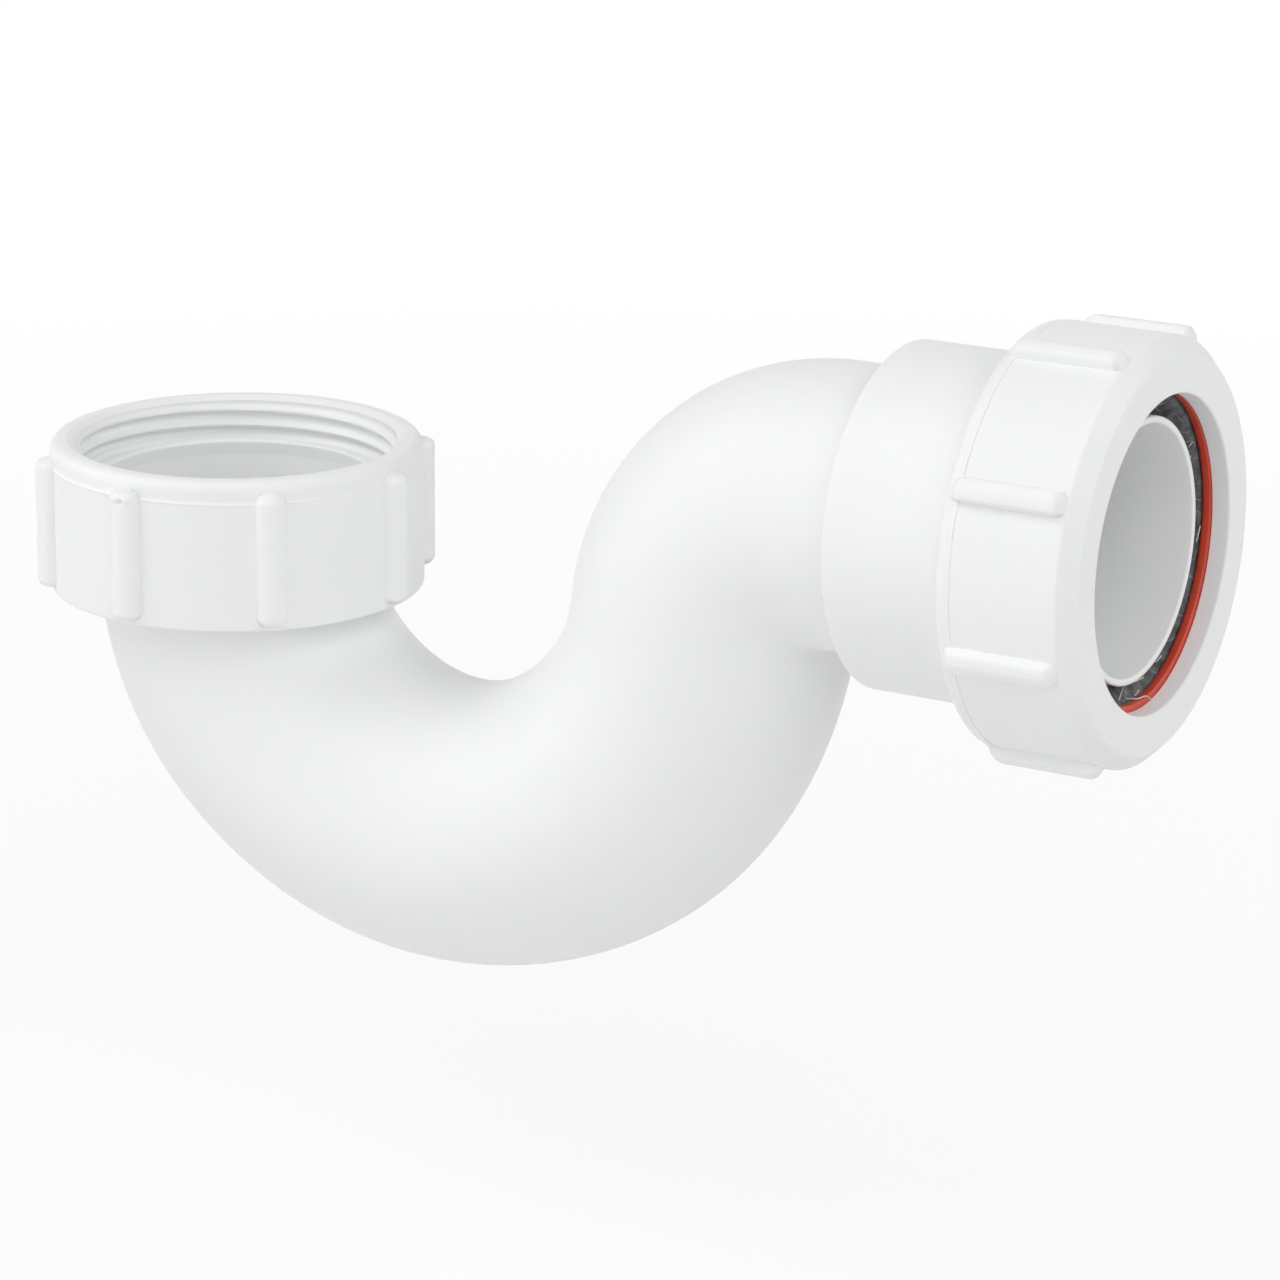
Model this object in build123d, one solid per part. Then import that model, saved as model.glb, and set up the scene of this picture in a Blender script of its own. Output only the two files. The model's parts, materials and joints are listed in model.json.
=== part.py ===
from build123d import *
import math
import os

# Bath trap with a shallow water seal: a hollow tube bent into a U and a crown, a union nut held on
# its inlet tail, and a compression joint for a plain waste pipe on its outlet.
# Millimetres, +Z up, +X towards the outlet. The origin is the centre of the inlet washer's top
# face, where the tail of a bath waste seats. Threads are plain cylinders here.

# Inlet union nut, for a 1 1/2 inch waste thread
inlet_thread_radius = 22.4
inlet_nut_wall = 5.55
inlet_nut_height = 22.5
inlet_nut_above_seat = 6.0
inlet_mouth_spread = 2.8
inlet_mouth_depth = 1.6
inlet_relief = 0.6
inlet_lip = 3.0
inlet_lip_clearance = 0.4
inlet_shoulder_gap = 0.4
inlet_parting_depth = 3.3
inlet_top_round = 1.6
inlet_lug_reach = 2.3
inlet_lug_radius = 2.2
inlet_lug_end_round = 1.2
inlet_lug_foot_inset = 1.0
inlet_lug_top_inset = 2.0
inlet_lug_angle = -0.5

# Inlet tail inside that nut, with its flange, and the washer that lies on it
flange_clearance = 0.4
flange_reach = 1.5
flange_thickness = 3.0
tail_rim = 0.6
tail_mouth_depth = 4.0
washer_thickness = 2.0

# Tube, a step wider than the tail, and the bends of its centre line by their inner side
tail_step = 0.5
tube_wall = 2.4
neck_inside_radius = 6.3
neck_angle = 32.5
u_inside_radius = 21.0
u_angle = 133.5
crown_inside_radius = 1.0
outlet_height = 9.7

# Outlet socket over the end of the tube, for a 43 mm waste pipe, and the tube inside that pipe
pipe_radius = 21.5
pipe_wall = 1.9
pipe_clearance = 0.25
outlet_run = 7.5
socket_length = 32.0
socket_wall = 2.75
socket_grip = 8.8
socket_round = 1.0
socket_flare_length = 4.8
socket_flare_round = 10.0
outlet_thread_rise = 0.95
outlet_thread_chamfer = 0.8
mouth_cone_depth = 6.0
mouth_cone_spread = 2.2
weld_gap = 0.1
inner_tube_clearance = 1.1
inner_tube_wall = 1.0
inner_tube_setback = 3.6
inner_tube_rim_round = 0.3

# Taper seal, slip ring and compression nut, stacked on the socket's mouth
seal_flange = 3.2
seal_funnel_depth = 3.0
seal_funnel_clearance = 0.1
seal_seat_gap = 0.1
seal_bore_clearance = 0.4
seal_edge_clearance = 0.7
seal_gap = 0.3
ring_thickness = 1.2
ring_gap = 0.1
ring_overlap = 0.25
ring_edge_clearance = 0.35
outlet_lip = 2.7
outlet_hole_clearance = 0.5
outlet_thread_clearance = 0.3
outlet_nut_wall = 4.0
outlet_nut_length = 20.1
outlet_parting_depth = 2.4
outlet_rear_round = 1.5
outlet_chamfer = 2.2
outlet_hole_round = 0.35
outlet_lug_reach = 1.9
outlet_lug_radius = 2.1
outlet_lug_end_round = 1.4
outlet_lug_rear_inset = 0.4
outlet_lug_setback = 0.2
outlet_lug_angle = 19.5

# Both nuts
lug_count = 8
parting_step = 0.15
edge_round = 0.4

# Radii and heights at the inlet
flange_radius = inlet_thread_radius - flange_clearance
tail_radius = flange_radius - flange_reach
tail_mouth_radius = tail_radius - tail_rim
tube_radius = tail_radius + tail_step
bore_radius = tube_radius - tube_wall
flange_top = -washer_thickness
flange_bottom = flange_top - flange_thickness
inlet_nut_radius = inlet_thread_radius + inlet_nut_wall
inlet_nut_bottom = inlet_nut_above_seat - inlet_nut_height
inlet_lip_top = inlet_nut_bottom + inlet_lip
shoulder = inlet_nut_bottom - inlet_shoulder_gap


def route_to_crown():
    """Centre line in the XZ plane: neck, U, rise and crown, level where it reaches outlet_height."""
    neck = JernArc((0, inlet_lip_top), (0, -1), tube_radius + neck_inside_radius, neck_angle)
    u_bend = JernArc(neck @ 1, neck % 1, tube_radius + u_inside_radius, u_angle)
    climb = neck_angle + u_angle - 90
    crown_radius = tube_radius + crown_inside_radius
    crown_height = crown_radius * (1 - math.cos(math.radians(climb)))
    rise_height = outlet_height - crown_height - (u_bend @ 1).Y
    rise_length = rise_height / math.sin(math.radians(climb))
    rise = Line(u_bend @ 1, u_bend @ 1 + (u_bend % 1) * rise_length)
    crown = JernArc(rise @ 1, rise % 1, crown_radius, -climb)
    return [neck, u_bend, rise, crown]


# Radii and distances along X at the outlet
route = route_to_crown()
socket_start = (route[-1] @ 1).X + outlet_run
socket_stop = socket_start + socket_grip
socket_mouth = socket_start + socket_length
socket_bore = pipe_radius + pipe_clearance
socket_rear_bore = tube_radius + weld_gap
socket_radius = max(socket_bore, socket_rear_bore) + socket_wall
outlet_thread_radius = socket_radius + outlet_thread_rise
inner_tube_radius = pipe_radius - pipe_wall - inner_tube_clearance
seal_front = socket_mouth + seal_seat_gap + seal_flange
ring_rear = seal_front + seal_gap
ring_front = ring_rear + ring_thickness
outlet_lip_rear = ring_front + ring_gap
outlet_face = outlet_lip_rear + outlet_lip
outlet_nut_rear = outlet_face - outlet_nut_length
outlet_nut_bore = outlet_thread_radius + outlet_thread_clearance
outlet_nut_radius = outlet_nut_bore + outlet_nut_wall
outlet_hole_radius = pipe_radius + outlet_hole_clearance
inner_tube_end = outlet_face - inner_tube_setback
along_outlet = Location((0, 0, outlet_height), (0, 90, 0))
standing = (Align.CENTER, Align.CENTER, Align.MIN)


def turned(outline, rounds):
    """Turn a closed (radius, height) outline about Z; rounds maps a corner's index to its radius."""
    face = make_face(Plane.XZ * Polyline(*outline, close=True))
    for index, radius in rounds.items():
        corner = Vector(outline[index][0], 0, outline[index][1])
        face = fillet(face.vertices().sort_by_distance(corner)[0], radius)
    return revolve(face, Axis.Z)


def upright(radius, low, high):
    """Cylinder on the inlet axis between two heights."""
    return Pos(0, 0, low) * Cylinder(radius, high - low, align=standing)


def level(radius, start, end):
    """Cylinder on the outlet axis between two distances along X."""
    return along_outlet * upright(radius, start, end)


def swept(radius, end):
    """Round bar along the tube's route, from the neck to a distance along X."""
    run = Line(route[-1] @ 1, (end, outlet_height))
    section = Plane((0, 0, inlet_lip_top), z_dir=(0, 0, -1)) * Circle(radius)
    return sweep(section, path=Plane.XZ * Wire([*route, run]))


def make_waterway():
    """Space inside the tube, from the flared tail mouth to the open inner tube."""
    inner_bore = inner_tube_radius - inner_tube_wall
    taper_end = socket_stop - tube_wall
    mouth = Cone(bore_radius, tail_mouth_radius, tail_mouth_depth, align=standing)
    taper = Cone(bore_radius, inner_bore, taper_end - socket_start, align=standing)
    way = swept(bore_radius, socket_start) + upright(bore_radius, inlet_lip_top, flange_top)
    way += Pos(0, 0, flange_top - tail_mouth_depth) * mouth
    way += along_outlet * Pos(0, 0, socket_start) * taper
    return way + level(inner_bore, taper_end, inner_tube_end)


def make_trap_body():
    """Tail with flange, U-bend, crown and inner outlet tube, hollow throughout."""
    body = swept(tube_radius, socket_stop) - upright(inlet_nut_radius, shoulder, flange_top)
    body += upright(tail_radius, shoulder - tube_wall, flange_bottom)
    body += upright(flange_radius, flange_bottom, flange_top)
    body += level(inner_tube_radius, socket_start, inner_tube_end)
    rim = body.edges().filter_by(GeomType.CIRCLE).group_by(Axis.X)[-1]
    return fillet(rim, inner_tube_rim_round) - make_waterway()


def make_inlet_washer():
    """Flat washer on the tail's flange."""
    return upright(flange_radius, flange_top, 0) - upright(tail_mouth_radius, flange_top, 0)


def ring_of_lugs(bar, distance, angle):
    """Copies of an upright bar, evenly spaced about Z at a distance from it."""
    step = 360 / lug_count
    return [Rot(0, 0, angle + step * index) * Pos(distance, 0, 0) * bar for index in range(lug_count)]


def make_inlet_nut():
    """Union nut: rounded mouth, threaded stretch, relief round the flange, lip under it."""
    lip_bore = tail_radius + inlet_lip_clearance
    relief_radius = inlet_thread_radius + inlet_relief
    parting = inlet_nut_above_seat - inlet_parting_depth
    upper_radius = inlet_nut_radius - parting_step
    outline = [
        (lip_bore, inlet_nut_bottom),
        (inlet_nut_radius, inlet_nut_bottom),
        (inlet_nut_radius, parting),
        (upper_radius, parting),
        (upper_radius, inlet_nut_above_seat),
        (inlet_thread_radius + inlet_mouth_spread, inlet_nut_above_seat),
        (inlet_thread_radius, inlet_nut_above_seat - inlet_mouth_depth),
        (inlet_thread_radius, 0),
        (relief_radius, 0),
        (relief_radius, inlet_lip_top),
        (lip_bore, inlet_lip_top),
    ]
    nut = turned(outline, {1: edge_round, 4: inlet_top_round})
    bar = upright(
        inlet_lug_radius,
        inlet_nut_bottom + inlet_lug_foot_inset,
        inlet_nut_above_seat - inlet_lug_top_inset,
    )
    bar = fillet(bar.edges().filter_by(GeomType.CIRCLE), inlet_lug_end_round)
    distance = inlet_nut_radius + inlet_lug_reach - inlet_lug_radius
    return nut + ring_of_lugs(bar, distance, inlet_lug_angle)


def make_outlet_socket():
    """Sleeve over the tube's end: rounded rear, flare up to the thread, coned mouth for the seal."""
    outline = [
        (socket_rear_bore, socket_start),
        (socket_radius, socket_start),
        (socket_radius, outlet_nut_rear - socket_flare_length),
        (outlet_thread_radius, outlet_nut_rear),
        (outlet_thread_radius, socket_mouth - outlet_thread_chamfer),
        (outlet_thread_radius - outlet_thread_chamfer, socket_mouth),
        (socket_bore + mouth_cone_spread, socket_mouth),
        (socket_bore, socket_mouth - mouth_cone_depth),
        (socket_bore, socket_stop),
        (socket_rear_bore, socket_stop),
    ]
    return along_outlet * turned(outline, {1: socket_round, 2: socket_flare_round})


def make_outlet_nut():
    """Compression nut: rounded rear band, round lugs, chamfered face, lip round the pipe hole."""
    parting = outlet_nut_rear + outlet_parting_depth
    rear_radius = outlet_nut_radius - parting_step
    chamfer_start = outlet_face - outlet_chamfer
    outline = [
        (outlet_nut_bore, outlet_nut_rear),
        (rear_radius, outlet_nut_rear),
        (rear_radius, parting),
        (outlet_nut_radius, parting),
        (outlet_nut_radius, chamfer_start),
        (outlet_nut_radius - outlet_chamfer, outlet_face),
        (outlet_hole_radius, outlet_face),
        (outlet_hole_radius, outlet_lip_rear),
        (outlet_nut_bore, outlet_lip_rear),
    ]
    nut = turned(outline, {1: outlet_rear_round, 4: edge_round, 5: edge_round, 6: outlet_hole_round})
    bar = upright(
        outlet_lug_radius,
        outlet_nut_rear + outlet_lug_rear_inset,
        chamfer_start - outlet_lug_setback,
    )
    bar = fillet(bar.edges().filter_by(GeomType.CIRCLE), outlet_lug_end_round)
    distance = outlet_nut_radius + outlet_lug_reach - outlet_lug_radius
    return along_outlet * (nut + ring_of_lugs(bar, distance, outlet_lug_angle))


def make_slip_ring():
    """Flat ring that lets the nut turn without dragging the seal."""
    edge = outlet_nut_bore - ring_edge_clearance
    hole = outlet_hole_radius - ring_overlap
    return level(edge, ring_rear, ring_front) - level(hole, ring_rear, ring_front)


def make_taper_seal():
    """Rubber wedge in the socket's coned mouth: flange under the slip ring, funnel for the pipe."""
    bore = inner_tube_radius + seal_bore_clearance
    funnel = pipe_radius + seal_funnel_clearance
    flange_edge = outlet_nut_bore - seal_edge_clearance
    seat = socket_mouth + seal_seat_gap
    outline = [
        (bore, seat - mouth_cone_depth),
        (socket_bore - seal_seat_gap, seat - mouth_cone_depth),
        (socket_bore + mouth_cone_spread - seal_seat_gap, seat),
        (flange_edge, seat),
        (flange_edge, seal_front),
        (funnel, seal_front),
        (bore, seal_front - seal_funnel_depth),
    ]
    return along_outlet * turned(outline, {4: edge_round, 5: edge_round, 6: edge_round})


parts = {
    "trap_body": make_trap_body(),
    "inlet_washer": make_inlet_washer(),
    "inlet_nut": make_inlet_nut(),
    "outlet_socket": make_outlet_socket(),
    "outlet_nut": make_outlet_nut(),
    "slip_ring": make_slip_ring(),
    "taper_seal": make_taper_seal(),
}

os.makedirs("parts", exist_ok=True)
for name, part in parts.items():
    export_step(part, f"parts/{name}.step")
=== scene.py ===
"""Bath trap: the finished look of every piece, built round the part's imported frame."""

import json
import math

import bmesh
import bpy
import numpy as np
from bpy.props import FloatProperty, FloatVectorProperty, PointerProperty
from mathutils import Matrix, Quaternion, Vector


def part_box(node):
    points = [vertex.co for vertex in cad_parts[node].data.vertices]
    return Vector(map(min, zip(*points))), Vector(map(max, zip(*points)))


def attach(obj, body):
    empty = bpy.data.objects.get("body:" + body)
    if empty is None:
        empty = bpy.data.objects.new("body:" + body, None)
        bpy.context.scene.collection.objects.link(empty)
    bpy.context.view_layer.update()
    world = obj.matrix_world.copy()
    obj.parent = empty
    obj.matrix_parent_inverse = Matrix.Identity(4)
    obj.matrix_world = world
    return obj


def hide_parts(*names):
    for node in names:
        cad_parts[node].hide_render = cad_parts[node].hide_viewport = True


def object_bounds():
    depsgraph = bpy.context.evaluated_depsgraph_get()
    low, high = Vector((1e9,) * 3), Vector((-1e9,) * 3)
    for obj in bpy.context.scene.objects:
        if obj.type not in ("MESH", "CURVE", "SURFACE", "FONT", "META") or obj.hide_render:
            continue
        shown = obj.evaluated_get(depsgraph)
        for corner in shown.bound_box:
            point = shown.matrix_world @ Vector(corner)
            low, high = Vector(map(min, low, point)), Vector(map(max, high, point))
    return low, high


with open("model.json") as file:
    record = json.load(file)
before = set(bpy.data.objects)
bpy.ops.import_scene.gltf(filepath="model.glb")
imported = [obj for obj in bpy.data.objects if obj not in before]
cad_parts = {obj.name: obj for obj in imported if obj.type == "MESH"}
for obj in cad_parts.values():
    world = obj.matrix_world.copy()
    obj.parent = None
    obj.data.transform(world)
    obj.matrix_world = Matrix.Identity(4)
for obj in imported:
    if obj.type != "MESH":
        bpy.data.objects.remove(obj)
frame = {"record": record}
cad_low, cad_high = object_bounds()

bl_info = {
    "name": "Bath Trap",
    "version": (1, 0, 0),
    "blender": (4, 5, 0),
    "location": "View3D > Sidebar > Bath Trap",
    "description": "Builds the pieces, finishes and stage of a bath trap round its packed frame",
    "category": "Object",
}

MM = 0.001
FULL_TURN = 2 * math.pi
QUARTER_TURN = math.pi / 2

# Places and sizes that the frame gives
MOUNTS = {mount["name"]: mount for mount in frame["record"]["mounts"]}
INLET_THREAD_RADIUS = MOUNTS["inlet_thread"]["dims"]["r_mm"]
OUTLET_HOLE_RADIUS = MOUNTS["outlet_pipe_hole"]["dims"]["r_mm"]
OUTLET_HEIGHT = MOUNTS["outlet_pipe_hole"]["pos_m"][2]
TRAP_LOW, TRAP_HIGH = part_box("trap_body")
WASHER_LOW, WASHER_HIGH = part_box("inlet_washer")
INLET_NUT_LOW, INLET_NUT_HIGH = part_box("inlet_nut")
SOCKET_LOW, SOCKET_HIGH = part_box("outlet_socket")
SEAL_LOW, SEAL_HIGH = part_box("taper_seal")
RING_LOW, RING_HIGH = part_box("slip_ring")
OUTLET_NUT_LOW, OUTLET_NUT_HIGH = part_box("outlet_nut")

# How finely the meshes are divided
TUBE_COLUMNS = 160
TUBE_STEP = 1.2 * MM
ROUND_COLUMNS = 256
ROUND_STEP = 0.35 * MM
LUG_COUNT = 8
LUG_OVER_COLUMNS = 26
LUG_BETWEEN_COLUMNS = 10
LUG_STEP = 0.24 * MM
ARC_STEP = math.radians(15)
FOOT_SLOPE = 4.0
SHARP_EDGE = math.radians(50)

# Shape of a lug: squareness of its section, fall from its ridge to its sides, and narrowing at its round ends
INLET_LUG = (3.2, 0.25, 1.0)
OUTLET_LUG = (6.0, 0.22, 0.35)

# Turn from the camera's side towards its right and height over the horizon of each studio lamp, in degrees
LAMPS = {
    "left_low": (-90, 4),
    "left_high": (-90, 50),
    "front_low": (-45, 4),
    "front_high": (-45, 50),
    "key": (20, 35),
    "right": (90, 30),
}
LAMP_WIDTH = 0.9
LAMP_DISTANCE = 1.2

# Where along its bends the tube's outside radius is given
SIZE_MARKS = (0.0, 0.181, 0.362, 0.524, 0.687, 0.904)

# Stretch before the crown over which its inner side flattens, and the slack at the start of that
CREASE_RUN = 14 * MM
CREASE_SLACK = 1.5 * MM

# Trimmings on the seal: along X, radius about the outlet axis and degrees from +Y towards +Z
TRIMMINGS = (
    ((146.3, 21.0, -90.5), (147.0, 20.9, -90.0), (147.9, 20.9, -89.3), (148.1, 20.9, -84.7), (148.7, 20.9, -84.7),
     (150.0, 20.9, -89.2)),
    ((146.1, 20.8, -95.7), (145.4, 20.2, -89.6), (145.0, 19.9, -84.3)),
    ((146.5, 21.2, -84.0), (146.5, 21.3, -82.1), (146.4, 21.1, -79.9)),
    ((144.8, 19.7, -82.6), (145.4, 20.2, -79.4), (145.7, 20.5, -75.4), (145.9, 20.7, -72.3)),
    ((146.6, 21.3, -10.0), (146.7, 21.4, -7.5), (146.9, 21.5, -4.0)),
    ((145.9, 20.7, 24.4), (146.1, 20.8, 25.1), (146.2, 20.9, 25.5)),
    ((146.2, 21.0, 30.1), (146.4, 21.2, 31.0), (146.6, 21.3, 31.5)),
    ((146.3, 21.0, -57.9), (146.2, 20.9, -60.3), (146.1, 20.9, -61.9)),
)


def length(name, description, millimetres):
    """Length property, given in millimetres and held in metres."""
    return FloatProperty(
        name=name, description=description, default=millimetres * MM, subtype="DISTANCE", unit="LENGTH", precision=5
    )


def angle(name, description, degrees):
    """Angle property, given in degrees."""
    return FloatProperty(
        name=name, description=description, default=math.radians(degrees), subtype="ANGLE", unit="ROTATION"
    )


def power(name, description, watts):
    """Lamp power property."""
    return FloatProperty(name=name, description=description, default=watts, min=0, unit="POWER")


def share(name, description, default):
    """Plain number from 0 to 1."""
    return FloatProperty(name=name, description=description, default=default, min=0, max=1, subtype="FACTOR")


def colour(name, description, red, green, blue):
    """Linear colour property."""
    return FloatVectorProperty(
        name=name, description=description, default=(red, green, blue), size=3, min=0, max=1, subtype="COLOR"
    )


class TubeSizes(bpy.types.PropertyGroup):
    """Bent tube with its inlet tail and the inner tube at its outlet."""

    neck_size: length("Neck size", "Outside radius of the tube at the neck", 20.9)
    drop_size: length("Drop size", "Outside radius of the tube below the neck", 20.99)
    u_size: length("U size", "Outside radius of the tube at the bottom of the U", 21.04)
    rise_size: length("Rise size", "Outside radius of the tube where the U rises", 21.3)
    crown_size: length("Crown size", "Outside radius of the tube in the crown", 20.61)
    end_size: length("End size", "Outside radius of the tube in the socket", 20.33)
    wall: length("Wall", "Thickness of the tube's wall", 2.2)
    neck_radius: length("Neck bend", "Radius of the bend below the inlet nut", 32.71)
    neck_angle: angle("Neck turn", "Turn of the bend below the inlet nut", 41.71)
    drop_radius: length("Drop bend", "Radius of the U on its way down", 41.44)
    drop_angle: angle("Drop turn", "Turn of the U on its way down", 66.24)
    climb_radius: length("Climb bend", "Radius of the U on its way up", 43.85)
    climb_angle: angle("Climb turn", "Turn of the U on its way up", 66.04)
    crown_radius: length("Crown bend", "Radius of the bend over the weir", 20.2)
    crown_crease: length("Crown crease", "Space left between the crown's inner side and its bend's centre", 0.3)
    tail_radius: length("Tail radius", "Outside radius of the tail inside the nut", 20.5)
    tail_mouth: length("Tail mouth", "Inside radius of the tail's flared mouth", 19.9)
    tail_mouth_depth: length("Mouth depth", "Depth of the flare in the tail's mouth", 9.0)
    flange_thickness: length("Flange", "Thickness of the flange under the washer", 3.0)
    route_start: length("Route start", "Depth below the washer's seat at which the bends begin", 11.91)
    shoulder_gap: length("Shoulder gap", "Gap between the nut and the tube's shoulder", 0.4)
    square_run: length("Square run", "Stretch after the neck over which the tube's rings square up", 25.0)
    socket_grip: length("Socket grip", "Stretch of the tube inside the socket", 8.8)
    taper_wall: length("Taper wall", "Wall left at the end of the bore's taper", 2.4)
    inner_radius: length("Inner tube", "Outside radius of the thin inner tube", 18.5)
    inner_wall: length("Inner wall", "Wall of the thin inner tube", 1.0)
    rim_round: length("Rim round", "Rounding of the inner tube's rim", 0.3)
    edge_round: length("Edge round", "Rounding of the tail's edges", 0.25)


class InletNutSizes(bpy.types.PropertyGroup):
    """Union nut on the inlet, with the washer under it."""

    radius: length("Nut radius", "Outside radius between the lugs", 27.95)
    lip_bore: length("Lip bore", "Radius of the hole in the nut's lip", 20.9)
    lip: length("Lip", "Thickness of the lip under the flange", 3.0)
    relief: length("Relief", "Radius of the bore round the flange", 23.0)
    thread_crest: length("Thread crest", "Radius at the crest of the female thread", 23.3)
    thread_root: length("Thread root", "Radius at the root of the female thread", 24.1)
    thread_pitch: length("Thread pitch", "Pitch of the 11 per inch waste thread", 2.309)
    thread_crest_height: length("Crest height", "Height of a thread crest on the +X side", 3.18)
    mouth: length("Mouth", "Radius of the mouth's top edge", 25.2)
    mouth_round: length("Mouth round", "Rounding of the mouth's top edge", 0.25)
    mouth_slope: FloatProperty(
        name="Mouth slope", description="Depth of the coned mouth for each unit of its spread", default=0.6, min=0
    )
    parting_depth: length("Parting depth", "Depth of the mould's parting line below the top", 3.3)
    parting_step: length("Parting step", "Step in radius at the parting line", 0.15)
    flash: length("Flash", "Height of the thin flash along the parting line", 0.1)
    flash_width: length("Flash width", "Width of the flash", 0.3)
    top_round: length("Top round", "Rounding of the top edge", 1.6)
    foot_round: length("Foot round", "Rounding of the bottom edge", 0.5)
    lug_reach: length("Lug reach", "How far a lug stands out", 2.29)
    lug_half: length("Lug half width", "Half the width of a lug", 2.2)
    lug_end_round: length("Lug end", "Rounding of a lug's ends", 1.2)
    lug_foot_inset: length("Lug foot inset", "Distance from a lug's lower end to the nut's foot", 1.0)
    lug_top_inset: length("Lug top inset", "Distance from a lug's upper end to the nut's top", 2.0)
    lug_foot: length("Lug foot", "Softness where a lug meets the wall", 0.2)
    lug_angle: angle("Lug angle", "Angle of the first lug from +X", -0.5)
    washer_hole: length("Washer hole", "Radius of the washer's hole", 19.9)
    washer_round: length("Washer round", "Rounding of the washer's edges", 0.3)


class SocketSizes(bpy.types.PropertyGroup):
    """Outlet socket over the end of the tube."""

    radius: length("Socket radius", "Outside radius behind the flare", 24.5)
    rear_gap: length("Rear gap", "Clearance of the rear bore over the tube", 0.08)
    bore: length("Bore", "Radius of the hole for the waste pipe", 21.75)
    grip: length("Grip", "Depth of the rear bore", 8.8)
    rear_round: length("Rear round", "Rounding of the rear shoulder", 0.5)
    flare: length("Flare", "Length of the flare up to the nut", 4.8)
    flare_round: length("Flare round", "Rounding at the start of the flare", 9.0)
    cone_depth: length("Cone depth", "Depth of the coned mouth", 6.0)
    cone_spread: length("Cone spread", "Widening of the coned mouth", 2.2)
    thread_pitch: length("Thread pitch", "Pitch of the compression thread", 4.0)
    thread_root: length("Thread root", "Radius at the root of the male thread", 25.0)
    thread_crest: length("Thread crest", "Radius at the crest of the male thread", 26.0)
    thread_run_out: length("Run-out", "Stretch over which the thread fades", 1.6)
    edge_round: length("Edge round", "Rounding of the mouth's edges", 0.3)


class OutletNutSizes(bpy.types.PropertyGroup):
    """Compression nut on the outlet, with the slip ring and taper seal behind its lip."""

    radius: length("Nut radius", "Outside radius between the lugs", 29.75)
    bore: length("Bore", "Radius of the plain bore round the ring", 25.75)
    lip: length("Lip", "Thickness of the lip in front of the ring", 2.7)
    entrance_round: length("Entrance round", "Rounding of the rear edge of the thread's entrance", 0.25)
    thread_gap: length("Thread gap", "Clearance to the socket's thread", 0.35)
    thread_end: length("Thread end", "Distance from the face to the end of the thread", 7.6)
    parting_depth: length("Parting depth", "Depth of the parting line from the rear edge", 2.4)
    flash: length("Flash", "Height of the thin flash along the parting line", 0.06)
    flash_width: length("Flash width", "Width of the flash and of the groove in front of it", 0.35)
    groove: length("Groove", "Depth of the groove in front of the flash", 0.08)
    rear_round: length("Rear round", "Rounding of the rear band", 1.5)
    chamfer: length("Chamfer", "Chamfer round the face", 2.2)
    chamfer_round: length("Chamfer round", "Softness of the chamfer's edges", 0.5)
    hole_round: length("Hole round", "Rounding of the hole's front edge", 0.35)
    lug_reach: length("Lug reach", "How far a lug stands out", 1.9)
    lug_half: length("Lug half width", "Half the width of a lug", 1.65)
    lug_end_round: length("Lug end", "Height of the rounding at a lug's ends", 1.8)
    lug_rear_run: length("Lug rear run", "Length of the rounding at a lug's rear end", 2.2)
    lug_front_run: length("Lug front run", "Length of the rounding at a lug's front end", 1.1)
    lug_rear_inset: length("Lug rear inset", "Distance from a lug's rear end to the nut's rear edge", 1.4)
    lug_setback: length("Lug setback", "Distance from a lug's front end to the chamfer", 0.4)
    lug_foot: length("Lug foot", "Softness where a lug meets the wall", 0.15)
    lug_angle: angle("Lug angle", "Angle of the first lug from +Y", 19.5)
    ring_hole: length("Ring hole", "Radius of the slip ring's hole", 21.55)
    ring_round: length("Ring round", "Rounding of the slip ring's edges", 0.25)
    ring_rear_round: length("Ring rear round", "Rounding of the rear edge of the slip ring's hole", 0.6)
    ring_back: length("Ring back", "How far the slip ring reaches back towards the seal", 0.25)
    ring_lift: length("Ring lift", "How far the slip ring sits above the nut's axis", 0.45)
    seal_bore: length("Seal bore", "Radius of the seal round the inner tube", 18.9)
    seal_funnel: length("Seal funnel", "Radius of the seal's mouth", 21.6)
    seal_funnel_depth: length("Funnel depth", "Depth of the seal's lead-in", 3.0)
    seal_gap: length("Seal gap", "Gap between the seal and its seat", 0.1)
    seal_round: length("Seal round", "Rounding of the seal's edges", 0.4)
    whisker_radius: length("Whisker radius", "Half thickness of a plastic trimming", 0.08)


class FinishColours(bpy.types.PropertyGroup):
    """Colours of the four finishes."""

    white: colour("White", "Moulded white plastic", 0.918, 0.93, 0.926)
    white_drift: colour("White drift", "White plastic where it looks a little denser", 0.904, 0.917, 0.913)
    washer: colour("Washer", "Soft washer", 0.905, 0.917, 0.913)
    washer_drift: colour("Washer drift", "Washer where it looks a little denser", 0.89, 0.903, 0.9)
    red: colour("Red", "Slip ring", 0.66, 0.062, 0.024)
    red_drift: colour("Red drift", "Slip ring where it is scuffed", 0.56, 0.055, 0.026)
    rubber: colour("Rubber", "Taper seal", 0.045, 0.046, 0.048)
    rubber_drift: colour("Rubber drift", "Taper seal where it is bloomed", 0.13, 0.133, 0.137)
    dust: colour("Dust", "Dust and fine scratches on the rubber", 0.42, 0.43, 0.43)
    grime: colour("Grime", "Small specks on the white plastic", 0.55, 0.56, 0.56)


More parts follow.
